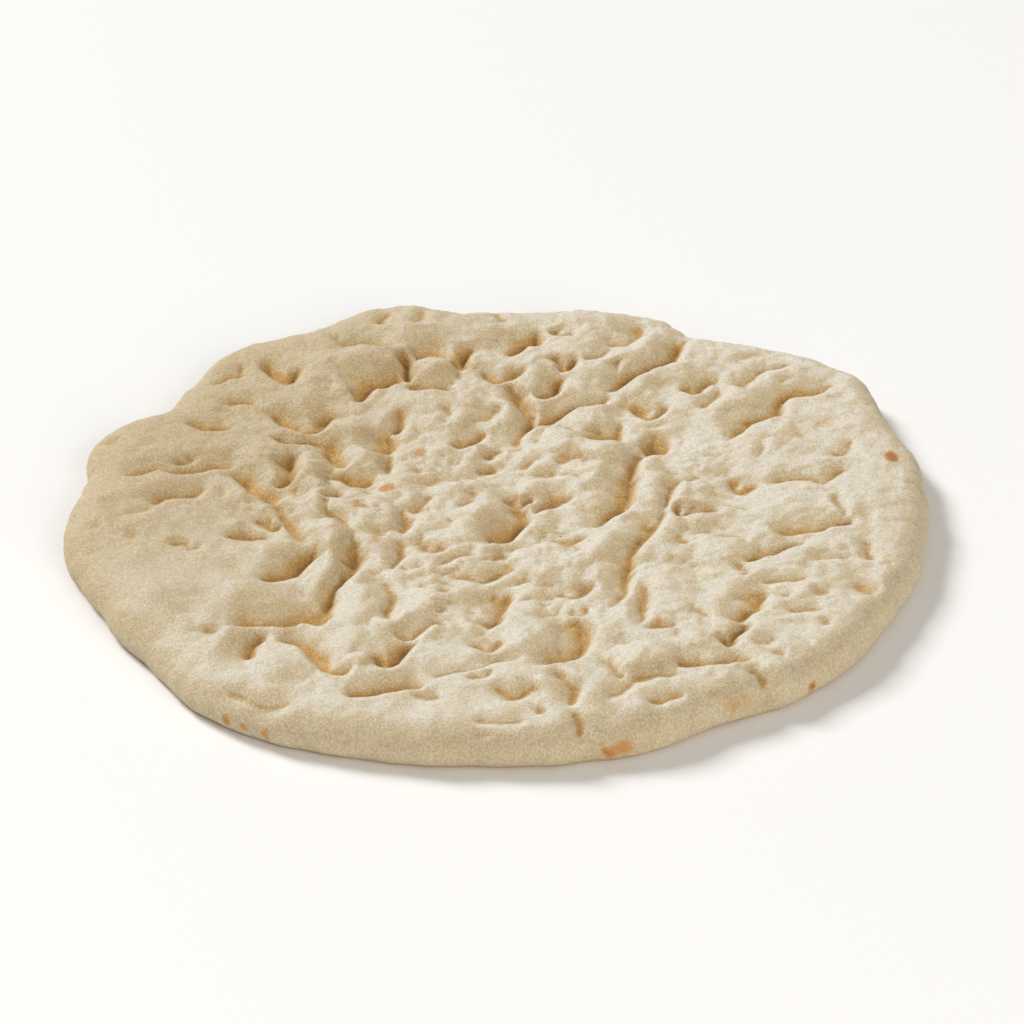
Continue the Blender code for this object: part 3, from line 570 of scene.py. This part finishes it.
# A square grid is wrapped onto the disc: out over the flat of the top, round the shoulder,
# round the foot, and then moved up or down by the relief.
bpy.ops.mesh.primitive_grid_add(x_subdivisions=GRID_STEPS, y_subdivisions=GRID_STEPS, size=2.0)
dough = bpy.context.object
dough.name = "dough"
square = np.empty(len(dough.data.vertices) * 3)
dough.data.vertices.foreach_get("co", square)
square = square.reshape(-1, 3)
angle, share = disc_places(square[:, 0], square[:, 1])
edge = edge_radius(angle)
direction = np.column_stack((np.cos(angle), np.sin(angle)))
edge += waves(EDGE_WOBBLE_RADIUS * direction, EDGE_WOBBLE, seed=4)
shoulder = SHOULDER - SOFTER_SHOULDER * np.cos(angle + SHARP_SIDE)
roll = math.pi / 2 * (shoulder + RIM_TOP - WAIST) / 2
tuck = math.pi / 2 * (TUCK + WAIST) / 2
flat = edge - shoulder
travel = share * (flat + roll + tuck)
over = np.clip((travel - flat) / roll, 0.0, 1.0) * math.pi / 2
under = np.clip((travel - flat - roll) / tuck, 0.0, 1.0) * math.pi / 2
radius = np.minimum(travel, flat) + shoulder * np.sin(over) - TUCK * (1.0 - np.cos(under))
crest = MIDDLE_TOP + (RIM_TOP - MIDDLE_TOP) * smooth_step(RIM_BEGINS, RIM_ENDS, radius / edge)
height = WAIST + (crest - WAIST) * np.cos(over) - WAIST * np.sin(under)
plan = direction * radius[:, None]
lift, hollow, nook = (sampled(field, plan) for field in relief())
seen = np.cos(under) ** 2
lift *= seen
plan += direction * (lift * np.sin(over))[:, None]
height += lift * np.cos(over)
shaped = np.column_stack((plan, height)) * MM

# The middle of the mesh goes to the middle of the solid that it replaces.
low, high = shaped.min(axis=0), shaped.max(axis=0)
node_low, node_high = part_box("pizza_base")
middle = [(node_low[i] + node_high[i]) / 2 - (low[i] + high[i]) / 2 for i in (0, 1)]
shaped += (middle[0], middle[1], 0.0)
dough.data.vertices.foreach_set("co", shaped.ravel())

# The open edge under the disc is closed with one flat face, the underside.
bpy.ops.object.mode_set(mode="EDIT")
bpy.ops.mesh.select_all(action="DESELECT")
bpy.ops.mesh.select_non_manifold()
bpy.ops.mesh.edge_face_add()
bpy.ops.mesh.select_all(action="SELECT")
bpy.ops.mesh.normals_make_consistent(inside=False)
bpy.ops.object.mode_set(mode="OBJECT")
bpy.ops.object.shade_smooth()
underside = max(dough.data.polygons, key=lambda face: len(face.vertices))
underside.use_smooth = False
facing = np.empty(len(dough.data.vertices) * 3)
dough.data.vertices.foreach_get("normal", facing)

# Flour lies on what faces FLOUR_AND_LIGHT_FALL, roughly the way the key lamp shines from,
# least of all on what faces away from it, and a little more on the side: real flour, and a
# painted highlight on the slopes that face the light.  It lies thin, over a darker cream, at
# the far left and thickens towards THICK_SIDE.  It fades in hollows and creases, partly as
# painted shade.  Each pair is where a change begins and ends: SIDE in shares of the radius,
# THICKENS, FLOUR_FADES and SHADE_FADES in millimetres, CATCHES and TURNED_FROM_LIGHT in
# how squarely the dough faces the fall.
FLOUR_AND_LIGHT_FALL = (-0.34, 0.17, 0.92)
THICK_SIDE = (0.9, -0.45)
THICKENS = (-140.0, 10.0)
SIDE = (0.9, 0.97)
CATCHES = (0.78, 0.98)
TURNED_FROM_LIGHT = (0.6, 0.9)
FLOUR_FADES = (0.1, 2.5)
SHADE_FADES = (0.4, 2.8)
LEAST_FLOUR = 0.12
SIDE_FLOUR = 0.1
FLOUR_IN_CREASE = 5.0
SHADE_IN_HOLLOWS = 0.85
SHADE_TURNED_AWAY = 0.25
lit_and_dusted = facing.reshape(-1, 3) @ FLOUR_AND_LIGHT_FALL
side = smooth_step(*SIDE, radius / edge)
thin = seen * (1.0 - smooth_step(*THICKENS, plan @ THICK_SIDE))
thick = 1.0 - (1.0 - LEAST_FLOUR) * thin
# Real flour, and a painted highlight on what faces the light.
caught_and_lit = LEAST_FLOUR + (1.0 - LEAST_FLOUR) * smooth_step(*CATCHES, lit_and_dusted) + SIDE_FLOUR * side
flour_fades_in_hollows = smooth_step(*FLOUR_FADES, hollow + FLOUR_IN_CREASE * nook)
flour_and_highlight = thick * caught_and_lit * (1.0 - flour_fades_in_hollows)
# Golden painted shade, in the hollows and on slopes turned from the light.
turned_from_light = (1.0 - side) * (1.0 - smooth_step(*TURNED_FROM_LIGHT, lit_and_dusted))
golden_shade = SHADE_IN_HOLLOWS * smooth_step(*SHADE_FADES, hollow) + SHADE_TURNED_AWAY * turned_from_light

# A blister is brownest in its middle and fades out, raggedly, where the square of the
# distance is BLISTER_REACH.  A distance of one is its half width, its half length or
# BLISTER_DEPTH in height.
RAGGED = ((3.0, 0.35), (1.6, 0.2))
RAGGED_SLANT = (0.7, 0.9)
BLISTER_DEPTH = 5.0
BLISTER_REACH = 1.3
ragged = 1.0 + waves(plan + height[:, None] * RAGGED_SLANT, RAGGED, seed=5)
toast = np.zeros(len(plan))
for x, y, level, half_width, half_length, brown in BLISTERS:
    across, along = (plan[:, 0] - x) / half_width, (plan[:, 1] - y) / half_length
    far = across ** 2 + along ** 2 + ((height - level) / BLISTER_DEPTH) ** 2
    toast = np.maximum(toast, brown * np.clip(BLISTER_REACH - far * ragged, 0.0, 1.0))

# These are painted on the mesh and fade out under the disc, except for thick.
painted = {
    "golden_shade": golden_shade * seen,
    "flour_and_highlight": flour_and_highlight * seen,
    "nook": nook * seen,
    "toast": toast * seen,
    "thick": thick,
}
for name, values in painted.items():
    attribute = dough.data.attributes.new(name, "FLOAT", "POINT")
    attribute.data.foreach_set("value", values)

crust = bpy.data.materials.new("part-baked crust")
crust.use_nodes = True
nodes, links = crust.node_tree.nodes, crust.node_tree.links
shader = nodes["Principled BSDF"]
shader.inputs["Roughness"].default_value = 0.9
shader.inputs["Specular IOR Level"].default_value = 0.25
shader.inputs["Subsurface Weight"].default_value = 0.4
shader.inputs["Subsurface Radius"].default_value = (1.0, 0.5, 0.22)
shader.inputs["Subsurface Scale"].default_value = 0.004
shader.inputs["Sheen Weight"].default_value = 0.1
shader.inputs["Sheen Roughness"].default_value = 0.5


def add(kind, **values):
    """A node in the crust with its sockets or settings given by name."""
    node = nodes.new(kind)
    for name, value in values.items():
        label = name.replace("_", " ")
        if label in node.inputs:
            node.inputs[label].default_value = value
        else:
            setattr(node, name, value)
    return node


def mixed(factor, first, second):
    """A colour between two colours or sockets."""
    node = nodes.new("ShaderNodeMix")
    node.data_type = "RGBA"
    for name, value in (("Factor_Float", factor), ("A_Color", first), ("B_Color", second)):
        socket = next(s for s in node.inputs if s.identifier == name)
        if isinstance(value, bpy.types.NodeSocket):
            links.new(value, socket)
        else:
            socket.default_value = value
    return next(s for s in node.outputs if s.identifier == "Result_Color")


def ranged(value, low, high, to_low=0.0, to_high=1.0):
    """A value socket eased from low to high, as a value from to_low to to_high."""
    node = nodes.new("ShaderNodeMapRange")
    node.interpolation_type = "SMOOTHSTEP"
    links.new(value, node.inputs["Value"])
    numbers = {"From Min": low, "From Max": high, "To Min": to_low, "To Max": to_high}
    for name, number in numbers.items():
        node.inputs[name].default_value = number
    return node.outputs["Result"]


place = nodes.new("ShaderNodeTexCoord").outputs["Object"]


def speckle(size, detail=2.0, roughness=0.5):
    """Noise whose grains are about size metres across."""
    node = add("ShaderNodeTexNoise", Scale=1.0 / size, Detail=detail, Roughness=roughness)
    links.new(place, node.inputs["Vector"])
    return node.outputs["Fac"]


def read(name):
    """A painted value of the mesh."""
    node = nodes.new("ShaderNodeAttribute")
    node.attribute_name = name
    return node.outputs["Fac"]


def product(first, second):
    """Two value sockets multiplied."""
    node = add("ShaderNodeMath", operation="MULTIPLY")
    links.new(first, node.inputs[0])
    links.new(second, node.inputs[1])
    return node.outputs["Value"]


# Colours of the baked dough, and of the painted shade and highlight on it.
CREAM = (0.645, 0.515, 0.30, 1.0)
PALE_CREAM = (0.695, 0.575, 0.355, 1.0)
THINLY_FLOURED = (0.575, 0.445, 0.24, 1.0)
SHADE_GOLD = (0.65, 0.37, 0.08, 1.0)
CREASE_SHADE_GOLD = (0.53, 0.28, 0.06, 1.0)
FLOUR_AND_HIGHLIGHT_WHITE = (0.87, 0.845, 0.745, 1.0)
DARK_GRAIN = (0.42, 0.25, 0.09, 1.0)
LIGHT_GRAIN = (0.96, 0.92, 0.80, 1.0)
FOOT_BROWN = (0.50, 0.30, 0.12, 1.0)
SPECK_BROWN = (0.24, 0.12, 0.05, 1.0)
BLISTER_GOLD = (0.64, 0.32, 0.09, 1.0)
BLISTER_BROWN = (0.40, 0.16, 0.05, 1.0)

# Sizes of the crust's noise in metres, and the number of cells of specks in a metre.
CREAM_BLOTCH = 0.012
FOOT_BLOTCH = 0.014
PORE = 0.003
FLOUR_GRAIN = 0.0025
BLISTER_GRAIN = 0.0022
SKIN_GRAIN = 0.0008
SPECK_CELLS = 90.0

# How much of the painted shade in creases and of the grain's colours shows, and how ragged
# blisters are.
CREASE_SHADE_SHARE = 0.7
GRAIN_SHARE = 0.4
BLISTER_RAGGED = 0.9

# Cream dough, with golden painted shade in hollows, creases and slopes turned from the light.
tint = mixed(ranged(speckle(CREAM_BLOTCH, 3.0, 0.6), 0.35, 0.65), CREAM, PALE_CREAM)
tint = mixed(read("thick"), THINLY_FLOURED, tint)
tint = mixed(ranged(read("golden_shade"), 0.0, 1.0), tint, SHADE_GOLD)
# Darker golden painted shade in the fine creases.
tint = mixed(ranged(read("nook"), 0.03, 0.25), tint, mixed(CREASE_SHADE_SHARE, tint, CREASE_SHADE_GOLD))

# Flour in fine grains, which is also a painted highlight where it faces the light, over a
# skin with darker and lighter grains of its own.
dusting_and_highlight = product(read("flour_and_highlight"), ranged(speckle(FLOUR_GRAIN, 6.0, 0.8), 0.35, 0.6, 0.6, 1.0))
tint = mixed(dusting_and_highlight, tint, FLOUR_AND_HIGHLIGHT_WHITE)
grain = speckle(SKIN_GRAIN, 4.0, 0.85)
tint = mixed(ranged(grain, 0.6, 0.35), tint, mixed(GRAIN_SHARE, tint, DARK_GRAIN))
tint = mixed(ranged(grain, 0.45, 0.7), tint, mixed(GRAIN_SHARE, tint, LIGHT_GRAIN))

# The foot, browned by the baking stone up to 2.5 mm.
height_of = add("ShaderNodeSeparateXYZ")
links.new(place, height_of.inputs["Vector"])
low_down = ranged(height_of.outputs["Z"], 0.0025, 0.0002)
foot = product(low_down, ranged(speckle(FOOT_BLOTCH, 4.0, 0.6), 0.35, 0.6, 0.35, 0.9))
tint = mixed(foot, tint, FOOT_BROWN)

# A dark speck in the middle of about one cell in seven.
specks = add("ShaderNodeTexVoronoi", Scale=SPECK_CELLS)
links.new(place, specks.inputs["Vector"])
chosen = add("ShaderNodeSeparateXYZ")
links.new(specks.outputs["Color"], chosen.inputs["Vector"])
spot = ranged(specks.outputs["Distance"], 0.06, 0.03, 0.0, 0.7)
tint = mixed(product(spot, ranged(chosen.outputs["X"], 0.85, 0.87)), tint, SPECK_BROWN)

# Blisters, golden round a brown middle.
uneven = add("ShaderNodeMath", operation="MULTIPLY_ADD")
links.new(ranged(speckle(BLISTER_GRAIN, 4.0, 0.8), 0.35, 0.65), uneven.inputs[0])
uneven.inputs[1].default_value = BLISTER_RAGGED
links.new(read("toast"), uneven.inputs[2])
browning = product(uneven.outputs["Value"], read("toast"))
tint = mixed(ranged(browning, 0.05, 0.8, 0.0, 0.9), tint, BLISTER_GOLD)
tint = mixed(ranged(browning, 0.9, 1.8, 0.0, 0.85), tint, BLISTER_BROWN)
links.new(tint, shader.inputs["Base Color"])

# Pores, and the grain of the skin over them.
pores = add("ShaderNodeBump", Strength=0.8, Distance=0.0014)
links.new(speckle(PORE, 3.0, 0.6), pores.inputs["Height"])
fine = add("ShaderNodeBump", Strength=0.75, Distance=0.0009)
links.new(grain, fine.inputs["Height"])
links.new(pores.outputs["Normal"], fine.inputs["Normal"])
links.new(fine.outputs["Normal"], shader.inputs["Normal"])
dough.data.materials.append(crust)
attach(dough, "root")
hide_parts("pizza_base")


# ---------------------------------------------------------------------------
# The table, the light and the camera
# The table is one wide, plain board painted white.  A large lamp behind stretched cloth
# stands high at the far left and a weak, warm one at the near right, as on a studio set.
# ---------------------------------------------------------------------------
TABLE_WIDTH = 6.0
TABLE_WHITE = (0.9, 0.9, 0.9, 1.0)
ROOM_LIGHT = (1.0, 0.97, 0.92, 1.0)
ROOM_STRENGTH = 0.31
bpy.ops.mesh.primitive_plane_add(size=TABLE_WIDTH, location=(0.0, 0.0, 0.0))
table = bpy.context.object
table.name = "table"
white = bpy.data.materials.new("white table")
white.use_nodes = True
white.node_tree.nodes["Principled BSDF"].inputs["Base Color"].default_value = TABLE_WHITE
table.data.materials.append(white)

world = bpy.data.worlds.new("studio")
bpy.context.scene.world = world
world.use_nodes = True
world.node_tree.nodes["Background"].inputs["Color"].default_value = ROOM_LIGHT
world.node_tree.nodes["Background"].inputs["Strength"].default_value = ROOM_STRENGTH


def softbox(name, place, size, watts, colour):
    """A square lamp that faces the dough."""
    bpy.ops.object.light_add(type="AREA", location=place)
    lamp = bpy.context.object
    lamp.name = name
    lamp.data.size = size
    lamp.data.energy = watts
    lamp.data.color = colour
    lamp.rotation_euler = (-Vector(place)).to_track_quat("-Z", "Y").to_euler()


WHITE_LIGHT = (1.0, 1.0, 1.0)
WARM_LIGHT = (1.0, 0.95, 0.86)
softbox("key", place=(-6.2, 5.6, 6.1), size=3.1, watts=1085.0, colour=WHITE_LIGHT)
softbox("fill", place=(2.0, -3.4, 1.9), size=2.4, watts=105.0, colour=WARM_LIGHT)

CAMERA_TILT = math.radians(31.0)
CAMERA_DISTANCE = 1.5
CAMERA_LENS = 151.5
CAMERA_FILM = 36.0
AIM = Vector((0.0045, 0.0127, 0.0))
bpy.ops.object.camera_add()
camera = bpy.context.object
backward = Vector((0.0, -math.cos(CAMERA_TILT), math.sin(CAMERA_TILT)))
camera.location = AIM + CAMERA_DISTANCE * backward
camera.rotation_euler = (math.pi / 2 - CAMERA_TILT, 0.0, 0.0)
camera.data.lens = CAMERA_LENS
camera.data.sensor_width = CAMERA_FILM
bpy.context.scene.camera = camera
bpy.context.scene.view_settings.view_transform = "Standard"
